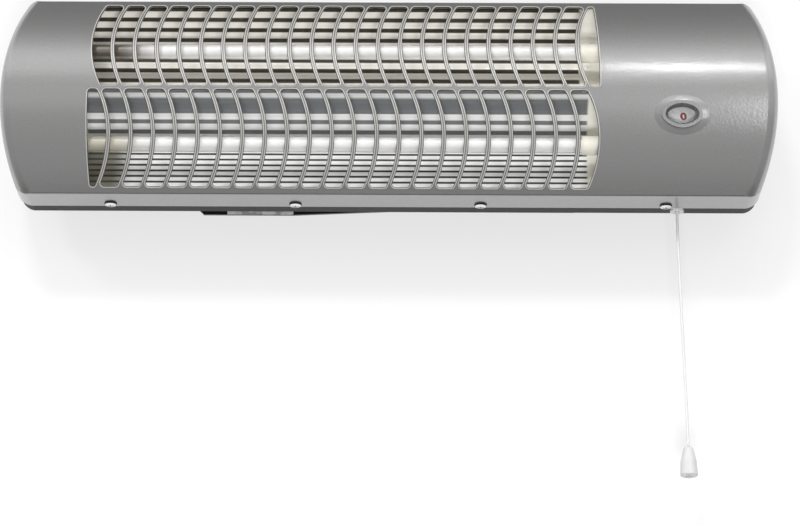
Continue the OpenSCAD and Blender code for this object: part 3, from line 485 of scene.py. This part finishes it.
def braid():
    k = Look("braided_cord", (0.76, 0.76, 0.755), 0.7, 0.0, Sheen_Weight=0.15)
    k.mottle(k.noise(0.5, 3.0, (1, 1, 0.3)), 0.08)
    k.bump(k.noise(0.25, 3.0, (1, 1, 0.2)), 0.03, 0.7)
    return k.mat


def lead_sleeve():
    k = Look("lead_sleeve", (0.42, 0.10, 0.07), 0.6)
    k.mottle(k.noise(1.0, 3.0), 0.15)
    k.bump(k.noise(0.5, 3.0, (0.2, 1, 1)), 0.02, 0.6)
    return k.mat


def lens_clear():
    """A thin clear lens: light goes straight through, and the surface keeps its gloss."""
    k = Look("clear_lens", (0.97, 0.98, 0.98), 0.04)
    k.bump(k.noise(5.0, 2.0), 0.002, 0.4)
    k.vary_rough(k.noise(3.0, 3.0), 0.02)
    clear = k.node("ShaderNodeBsdfTransparent")
    tint = k.ramp(k.noise(4.0, 2.0), [(0.0, (0.93, 0.94, 0.94)), (1.0, (0.99, 0.99, 0.99))])
    k.link(tint, clear.inputs["Color"])
    gloss = k.node("ShaderNodeFresnel")
    gloss.inputs["IOR"].default_value = 1.45
    both = k.node("ShaderNodeMixShader")
    k.bsdf.inputs["Metallic"].default_value = 1.0
    k.link(gloss.outputs["Fac"], both.inputs["Fac"])
    k.link(clear.outputs["BSDF"], both.inputs[1])
    k.link(k.bsdf.outputs["BSDF"], both.inputs[2])
    k.link(both.outputs["Shader"], k.tree.nodes["Material Output"].inputs["Surface"])
    return k.mat


def dial_face():
    k = Look("dial_plastic", (0.88, 0.87, 0.86), 0.45)
    grey, pale, white = (0.82, 0.82, 0.82), (0.96, 0.955, 0.95), (0.99, 0.985, 0.98)
    k.colour_from(k.ramp(k.noise(3.5, 5.0, distortion=0.8), [(0.35, grey), (0.5, pale), (0.7, white)]))
    k.bump(k.noise(1.2, 3.0), 0.01, 0.5)
    return k.mat


def numeral_ink():
    k = Look("numeral_ink", (0.30, 0.012, 0.03), 0.45)
    k.mottle(k.noise(0.6, 3.0), 0.15)
    k.bump(k.noise(0.4, 2.0), 0.004, 0.4)
    return k.mat


LOOKS = {
    # Two of the slot looks are painted light: a highlight on each slot's lip, and shade just inside its edge.
    "enamel": enamel(), "edge": rolled_lip_highlight(), "cut": cut_edge(), "casing": casing_paint(),
    "black": black_paint(), "reflector": polished_aluminium(), "cheek": cheek_metal(),
    # Painted shade: each tube's left end is darkened to the colour given.
    "tube_upper": milky_quartz(-152, (0.12, 0.10, 0.08)),
    "tube_lower": milky_quartz(-155, (0.55, 0.52, 0.42)),
    "ceramic": ceramic(), "chrome": chrome(), "zinc": zinc(), "brass": brass(), "wire": wire_metal(),
    "bezel": chrome("bezel_plate", 0.28, (0.33, 0.33, 0.335), 0.7),
    "strip": bare_metal(),
    "nylon": plastic("natural_nylon", (0.86, 0.855, 0.85), 0.45),
    "white": plastic("white_plastic", (0.80, 0.79, 0.77), 0.5),
    "gloss": plastic("white_gloss", (0.66, 0.66, 0.66), 0.22, 1.5, 0.004, Coat_Weight=0.3),
    "dark": plastic("black_plastic", (0.02, 0.02, 0.021), 0.5),
    "braid": braid(), "lead": lead_sleeve(), "lens": lens_clear(), "dial": dial_face(), "ink": numeral_ink(),
}

NODE_LOOKS = {
    "wall_bracket": "black", "tilt_lugs": "black", "pivot_bolts": "zinc", "lock_nuts": "zinc",
    "lug_rivets": "zinc", "friction_washers": "nylon", "rear_casing": "casing", "front_cover": "enamel",
    "cover_screws": "chrome", "reflector": "reflector", "reflector_cheek_left": "cheek",
    "reflector_cheek_right": "cheek", "quartz_tube_upper": "tube_upper", "quartz_tube_lower": "tube_lower",
    "heating_coil_upper": "wire", "heating_coil_lower": "wire", "ceramic_caps": "ceramic",
    "window_bezel": "bezel", "window_lens": "lens", "indicator_dial": "dial", "switch_housing": "dark",
    "switch_bracket": "zinc", "pull_rod": "white", "return_spring": "zinc", "cord_bush": "nylon",
    "pull_cord": "braid", "pull_knob": "gloss", "cord_knot": "braid", "cable_gland": "dark",
    "gland_nut": "dark", "terminal_block": "white", "terminal_screws": "brass", "thermal_cutout": "zinc",
    "earth_screw": "brass", "internal_wiring": "lead",
}


def dress(obj, look):
    obj.data.materials.clear()
    obj.data.materials.append(LOOKS[look])


for name, obj in nodes.items():
    dress(obj, NODE_LOOKS[name])

# ------------------------------------------------------------------ pull cord

SWITCH_X = 196.0
CORD_Y = -38.5
CORD_TOP_Z = -46.0
CORD_FOOT_Z = -236.0
# The cord's points as (sideways from the switch, height), in mm
CORD_ROUTE = [
    (0.0, CORD_TOP_Z), (0.0, -60.0), (0.0, -76.0), (0.3, -100.0), (0.9, -130.0), (1.6, -160.0),
    (2.3, -190.0), (2.8, -215.0), (3.0, CORD_FOOT_Z),
]


def cord_piece():
    """The braided cord, with its strands crossing in relief."""
    radius, pitch, sides = 0.86, 0.45, 20
    strands, lay, relief = 4, 2.4, 0.05
    marks = [(SWITCH_X + dx, z + BODY_Z) for dx, z in CORD_ROUTE]
    centres = []
    for (x0, z0), (x1, z1) in zip(marks, marks[1:]):
        steps = max(2, round((z0 - z1) / pitch))
        centres += [(x0 + (x1 - x0) * i / steps, z0 + (z1 - z0) * i / steps) for i in range(steps)]
    centres.append(marks[-1])
    verts = []
    for x, z in centres:
        for k in range(sides):
            a = 2 * math.pi * k / sides
            weave = max(math.sin(strands * a + z * lay), math.sin(strands * a - z * lay))
            r = radius + relief * weave
            verts.append((MM * (x + r * math.cos(a)), MM * (CORD_Y + r * math.sin(a)), MM * z))
    obj = mesh_object("cord_braid", verts, capped_faces(len(centres), sides))
    dress(obj, "braid")
    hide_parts("pull_cord")
    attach(obj, "pull")


cord_piece()

# ------------------------------------------------------------------ grille edges

# The cover: half its height and width, and its bowed face
HALF_H, HALF_W = 71.0, 262.5
FACE_RISE = 16.5
FACE_R = (HALF_H ** 2 + FACE_RISE ** 2) / (2 * FACE_RISE)
APEX_Y = -84.0
# Two rows of slots with bowed bars between them, the lower row being the upper one turned half round
ROW_GAP, ROW_H = 2.4, 65.3
BAR_PITCH, BAR_W, BARS = 15.0, 2.3, 22
BAR_BOW = 7.5
BAR_R = ((ROW_H / 2) ** 2 + BAR_BOW ** 2) / (2 * BAR_BOW)
ROW_MID = (ROW_GAP + ROW_H) / 2
ROW_TOP = ROW_GAP / 2 + ROW_H
GRILLE_FROM_END = 60.0
GRILLE_HALF = (BARS + 1) * BAR_PITCH / 2
GRILLE_X = GRILLE_FROM_END + GRILLE_HALF - HALF_W
CORNER_R, END_TOP_R, END_FOOT_R = 2.4, 1.6, 2.6
# The outer edge of a row's last slot
END_R, END_MID_Z = 560.0, 10.0
CORNER_STEPS, SIDE_STEPS = 6, 40


def arc(c, r, a0, a1, steps):
    """Points along an arc round c from angle a0 to a1."""
    turns = [a0 + (a1 - a0) * i / steps for i in range(steps + 1)]
    return [(c[0] + r * math.cos(a), c[1] + r * math.sin(a)) for a in turns]


def slot_outline(left, right, top_r, foot_r):
    """Points round one slot of the upper row. An edge is (centre x, centre z, radius, side, inside)."""

    def fillet(edge, z_end, up, r):
        cx, cz, big, side, inside = edge
        z = z_end - up * r
        return (cx + side * math.sqrt((big - inside * r) ** 2 - (z - cz) ** 2), z)

    def touch(edge, c, r):
        cx, cz, big, side, inside = edge
        k = big / (big - inside * r)
        return (cx + (c[0] - cx) * k, cz + (c[1] - cz) * k)

    corners = []
    for edge, z_end, up, r in ((left, ROW_TOP, 1, top_r), (right, ROW_TOP, 1, top_r),
                               (right, ROW_GAP / 2, -1, foot_r), (left, ROW_GAP / 2, -1, foot_r)):
        c = fillet(edge, z_end, up, r)
        t = touch(edge, c, r)
        side_a = math.atan2(t[1] - c[1], t[0] - c[0])
        corners.append((c, r, math.pi / 2 * up, side_a, t))

    def turn(a, b):
        """Angle b, taken the short way round from a."""
        return a + ((b - a + math.pi) % (2 * math.pi) - math.pi)

    def corner(i, from_side):
        c, r, end_a, side_a, _ = corners[i]
        a, b = (side_a, end_a) if from_side else (end_a, side_a)
        return arc(c, r, a, turn(a, b), CORNER_STEPS)

    def long_side(edge, i, j):
        cx, cz, big = edge[:3]
        a0, a1 = (math.atan2(t[1] - cz, t[0] - cx) for t in (corners[i][4], corners[j][4]))
        return arc((cx, cz), big, a0, turn(a0, a1), SIDE_STEPS)[1:-1]

    return (corner(0, True) + corner(1, False) + long_side(right, 1, 2)
            + corner(2, True) + corner(3, False) + long_side(left, 3, 0))


def grille_outlines():
    """Points round each slot of both rows, seen from the front."""
    rows = []
    for i in range(BARS + 1):
        x = i * BAR_PITCH - GRILLE_HALF
        left = (x + BAR_W / 2 + BAR_R, ROW_MID, BAR_R, -1, 1)
        bowed = (x + BAR_PITCH - BAR_W / 2 + BAR_R, ROW_MID, BAR_R, -1, -1)
        outer = (GRILLE_HALF - END_R, END_MID_Z, END_R, 1, 1)
        if i < BARS:
            rows.append(slot_outline(left, bowed, CORNER_R, CORNER_R))
        else:
            rows.append(slot_outline(left, outer, END_TOP_R, END_FOOT_R))
    out = []
    for turn in (1, -1):
        out += [[(GRILLE_X + turn * x, turn * z) for x, z in pts] for pts in rows]
    return out


def on_face(x, z):
    """Point and outward normal of the bowed face at height z above the heater's middle."""
    y = APEX_Y + FACE_R - math.sqrt(FACE_R ** 2 - z * z)
    s = z / FACE_R
    return Vector((x, y, z + BODY_Z)), Vector((0.0, -math.sqrt(1 - s * s), s))


def slot_beads(name, look, out, wide, high, sunk):
    """A slim rounded bead round every slot: out from its edge onto the bar, sunk under the face, in mm."""
    sides = 10
    verts, faces = [], []
    for pts in grille_outlines():
        n = len(pts)
        base = len(verts)
        area = sum(pts[i][0] * pts[(i + 1) % n][1] - pts[(i + 1) % n][0] * pts[i][1] for i in range(n))
        sign = 1.0 if area > 0 else -1.0
        places = [on_face(x, z) for x, z in pts]
        for i in range(n):
            p, normal = places[i]
            along = (places[(i + 1) % n][0] - places[i - 1][0]).normalized()
            side = along.cross(normal) * sign
            side.normalize()
            centre = p + side * out - normal * sunk
            verts += ring_points(centre * MM, side * wide * MM, normal * high * MM, sides)
        faces += [tuple(base + v for v in f) for f in ring_faces(n, sides, True)]
    obj = mesh_object(name, verts, faces)
    dress(obj, look)
    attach(obj, "heater")


# Painted highlight: a light bead along each slot's rolled lip.
slot_beads("slot_lip_highlights", "edge", out=0.34, wide=0.36, high=0.3, sunk=0.06)
# Painted shade: a thin dark bead just inside each slot's edge.
slot_beads("slot_cut_edges", "cut", out=-0.1, wide=0.3, high=0.3, sunk=0.45)

# ------------------------------------------------------------------ the switch's spring


def switch_spring():
    """The switch's wound return spring, an even coil filling its part's box."""
    wire, turns, steps, sides = 0.6 * MM, 7, 24, 8
    low, high = (Vector(c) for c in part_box("return_spring"))
    mid = (low + high) / 2
    radius = (high.x - low.x - wire) / 2
    count = turns * steps
    verts = []
    for i in range(count + 1):
        turn = 2 * math.pi * i / steps
        out = Vector((math.cos(turn), math.sin(turn), 0))
        height = low.z + wire / 2 + (high.z - low.z - wire) * i / count
        centre = Vector((mid.x, mid.y, height)) + out * radius
        verts += ring_points(centre, out * wire / 2, Vector((0, 0, wire / 2)), sides)
    obj = mesh_object("closing_spring", verts, capped_faces(count + 1, sides))
    dress(obj, "zinc")
    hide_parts("return_spring")
    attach(obj, "heater")
    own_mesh(obj)


switch_spring()

# ------------------------------------------------------------------ small trim

SCREW_X = (-187.5, -62.5, 62.5, 187.5)
SCREW_Y = -50.0


def screw_shadow_rings():
    """Painted shadow: a dark cup-shaped ring round the foot of each head under the cover, standing for the
    shade between head and cover.
    """
    bore, rim, thick, round_off = 3.7, 4.25, 1.1, 0.1
    ring = [(bore, 0.0), (rim - round_off, 0.0), (rim, -0.3), (rim - round_off, -0.95),
            (rim - 0.25, -thick), (bore, round_off - thick)]
    for i, x in enumerate(SCREW_X):
        # A dark ring in the place of the shade round each screw head.
        obj = turned_ring("screw_shadow_ring_%d" % (i + 1), ring, (x, SCREW_Y, BODY_Z - HALF_H))
        dress(obj, "dark")
        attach(obj, "heater")


def bare_strip():
    """A plain bright plate along the lower edge of the wall plate, with rounded edges and ends."""
    x0, x1, z0, z1 = -112.3, -66.4, -40.9, -31.0
    back, front, corner, nick, crown = -1.9, -2.45, 0.3, 0.09, 0.12
    mid_z = (z0 + z1) / 2
    profile = [(back, z0), (front + corner, z0), (front + nick, z0 + nick), (front, z0 + corner),
               (front - crown, mid_z),
               (front, z1 - corner), (front + nick, z1 - nick), (front + corner, z1), (back, z1)]
    stations = [(x0, 0.12), (x0 + 0.1, 0.03), (x0 + 0.3, 0.0), (x1 - 0.3, 0.0), (x1 - 0.1, 0.03), (x1, 0.12)]
    verts = []
    for x, shrink in stations:
        for y, z in profile:
            y += 0 if y == back else shrink
            z += shrink if z < mid_z else -shrink
            verts.append((MM * x, MM * y, MM * z))
    faces = capped_faces(len(stations), len(profile))
    obj = mesh_object("bare_strip", verts, faces)
    dress(obj, "strip")
    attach(obj, "bracket")


screw_shadow_rings()
bare_strip()

# ------------------------------------------------------------------ dial numerals

DIAL_X, DIAL_Z = 197.0, -6.0
DIAL_FRONT_Y = -76.0
NUMERAL_R = 11.0
NUMERAL_TURN, NUMERAL_STEP = -8, 120
NUMERAL_HIGH, NUMERAL_WIDE = 6.8, 1.2
NUMERAL_RELIEF, NUMERAL_BOLD = 0.04, 0.3
NUMERAL_LIFT = 0.06


def numerals():
    """Plain numbers printed round the dial, which stand a tenth of a millimetre out of it."""
    for i, text in enumerate("012"):
        curve = bpy.data.curves.new("numeral_" + text, "FONT")
        curve.body = text
        curve.align_x = "CENTER"
        curve.align_y = "CENTER"
        curve.size = NUMERAL_HIGH * MM
        curve.extrude = NUMERAL_RELIEF * MM
        curve.offset = NUMERAL_BOLD * MM
        obj = bpy.data.objects.new("numeral_" + text, curve)
        scene.collection.objects.link(obj)
        place = Matrix.Translation(Vector((DIAL_X, DIAL_FRONT_Y - NUMERAL_LIFT, DIAL_Z + BODY_Z)) * MM)
        turn = Matrix.Rotation(math.radians(NUMERAL_STEP * i + NUMERAL_TURN), 4, "Y")
        out = Matrix.Translation((0, 0, -NUMERAL_R * MM))
        upright = Matrix.Rotation(math.pi / 2, 4, "X")
        obj.matrix_world = place @ turn @ out @ upright @ Matrix.Diagonal((NUMERAL_WIDE, 1.0, 1.0, 1.0))
        bpy.context.view_layer.update()
        mesh = bpy.data.meshes.new_from_object(obj)
        mesh.transform(obj.matrix_world)
        flat = bpy.data.objects.new("dial_numeral_" + text, mesh)
        bpy.data.objects.remove(obj)
        scene.collection.objects.link(flat)
        dress(flat, "ink")
        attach(flat, "dial")


numerals()

# ------------------------------------------------------------------ studio

# The wall's half size and place, in metres, and its own colour and glow
WALL_HALF, WALL_Y = 4, 0.0008
WALL_COLOUR, WALL_GLOW = 0.36, 0.575


def highest(t, sockets):
    """The highest of some 0 to 1 sockets of node tree t."""
    found = sockets[0]
    for socket in sockets[1:]:
        m = t.nodes.new("ShaderNodeMath")
        m.operation = "MAXIMUM"
        t.links.new(found, m.inputs[0])
        t.links.new(socket, m.inputs[1])
        found = m.outputs[0]
    return found


def paper():
    """White paper: it shows full white, keeps a soft shadow, and is clear from behind."""
    mat = bpy.data.materials.new("wall_paper")
    mat.use_nodes = True
    t = mat.node_tree
    t.nodes.clear()
    out = t.nodes.new("ShaderNodeOutputMaterial")
    path = t.nodes.new("ShaderNodeLightPath")
    rays = ("Is Camera Ray", "Is Glossy Ray", "Is Transmission Ray")
    seen = highest(t, [path.outputs[ray] for ray in rays])
    diffuse = t.nodes.new("ShaderNodeBsdfDiffuse")
    diffuse.inputs["Color"].default_value = (WALL_COLOUR, WALL_COLOUR, WALL_COLOUR, 1.0)
    glow = t.nodes.new("ShaderNodeEmission")
    glow.inputs["Color"].default_value = (1.0, 1.0, 1.0, 1.0)
    level = t.nodes.new("ShaderNodeMath")
    level.operation = "MULTIPLY"
    level.inputs[1].default_value = WALL_GLOW
    t.links.new(seen, level.inputs[0])
    t.links.new(level.outputs[0], glow.inputs["Strength"])
    add = t.nodes.new("ShaderNodeAddShader")
    t.links.new(diffuse.outputs[0], add.inputs[0])
    t.links.new(glow.outputs[0], add.inputs[1])
    clear = t.nodes.new("ShaderNodeBsdfTransparent")
    geo = t.nodes.new("ShaderNodeNewGeometry")
    mix = t.nodes.new("ShaderNodeMixShader")
    t.links.new(geo.outputs["Backfacing"], mix.inputs[0])
    t.links.new(add.outputs[0], mix.inputs[1])
    t.links.new(clear.outputs[0], mix.inputs[2])
    t.links.new(mix.outputs[0], out.inputs["Surface"])
    return mat


def studio():
    """The wall behind the heater."""
    corners = [(x * WALL_HALF, WALL_Y, z * WALL_HALF) for x, z in ((-1, -1), (1, -1), (1, 1), (-1, 1))]
    wall = mesh_object("wall", corners, [(0, 1, 2, 3)], False)
    if wall.data.polygons[0].normal.y > 0:
        wall.data.flip_normals()
    wall.data.materials.append(paper())


# How bright the studio is at each height of the sky, in degrees
PANELS = (
    (-90, 0.04), (-62, 0.04), (-48, 0.06), (-44, 0.1), (-34, 0.1), (-30, 0.38), (-14, 0.48), (-9, 0.44),
    (9, 0.5), (14, 0.78), (21, 0.78), (26, 0.6), (32, 1.4), (41, 1.5), (47, 0.75), (54, 0.35), (60, 0.22),
    (68, 0.15), (90, 0.1),
)


def world():
    """White to the camera; for the light itself a dim studio, darker overhead and underfoot."""
    w = bpy.data.worlds.new("studio")
    scene.world = w
    w.use_nodes = True
    t = w.node_tree
    back = t.nodes["Background"]
    back.inputs["Color"].default_value = (1.0, 1.0, 1.0, 1.0)
    path = t.nodes.new("ShaderNodeLightPath")
    seen = highest(t, [path.outputs[ray] for ray in ("Is Camera Ray", "Is Transmission Ray")])
    coords = t.nodes.new("ShaderNodeTexCoord")
    split = t.nodes.new("ShaderNodeSeparateXYZ")
    t.links.new(coords.outputs["Generated"], split.inputs[0])
    ramp = t.nodes.new("ShaderNodeValToRGB")
    height = t.nodes.new("ShaderNodeMapRange")
    height.inputs["From Min"].default_value = -1.0
    t.links.new(split.outputs["Z"], height.inputs["Value"])
    t.links.new(height.outputs["Result"], ramp.inputs["Fac"])
    set_stops(ramp.color_ramp, [((math.sin(math.radians(e)) + 1) / 2, (v, v, v)) for e, v in PANELS])
    level = t.nodes.new("ShaderNodeMix")
    level.data_type = "FLOAT"
    t.links.new(seen, level.inputs[0])
    t.links.new(ramp.outputs["Color"], level.inputs[2])
    level.inputs[3].default_value = 1.0
    t.links.new(level.outputs[0], back.inputs["Strength"])


HEATER = (0, -0.05, 0.0)


def lamp(name, place, aim, size, power, mirrored=True):
    """An area lamp; one that isn't mirrored only fills, and leaves no bright spot on metal or paint."""
    data = bpy.data.lights.new(name, "AREA")
    data.shape = "RECTANGLE"
    data.size, data.size_y = size
    data.energy = power
    obj = bpy.data.objects.new(name, data)
    obj.visible_glossy = mirrored
    scene.collection.objects.link(obj)
    obj.location = place
    obj.rotation_mode = "QUATERNION"
    obj.rotation_quaternion = (Vector(aim) - Vector(place)).to_track_quat("-Z", "Y")


studio()
world()
lamp("high", (-0.75, -3.3, 2.3), HEATER, (0.6, 0.4), 42, mirrored=False)
lamp("strip", (0.40, -1.7, 1.17), (0.15, -0.08, 0.04), (0.2, 0.03), 0.72)
lamp("right", (0.68, -1.7, 0.33), (0.2, -0.08, 0.0), (0.4, 0.45), 1.5)
lamp("left", (-1.5, -1.5, 0.9), HEATER, (0.4, 0.4), 8, mirrored=False)
lamp("above", (0.3, -2.4, 1.9), HEATER, (0.6, 0.6), 4, mirrored=False)
lamp("front", (0.1, -2.25, -1.75), HEATER, (0.7, 0.5), 42, mirrored=False)
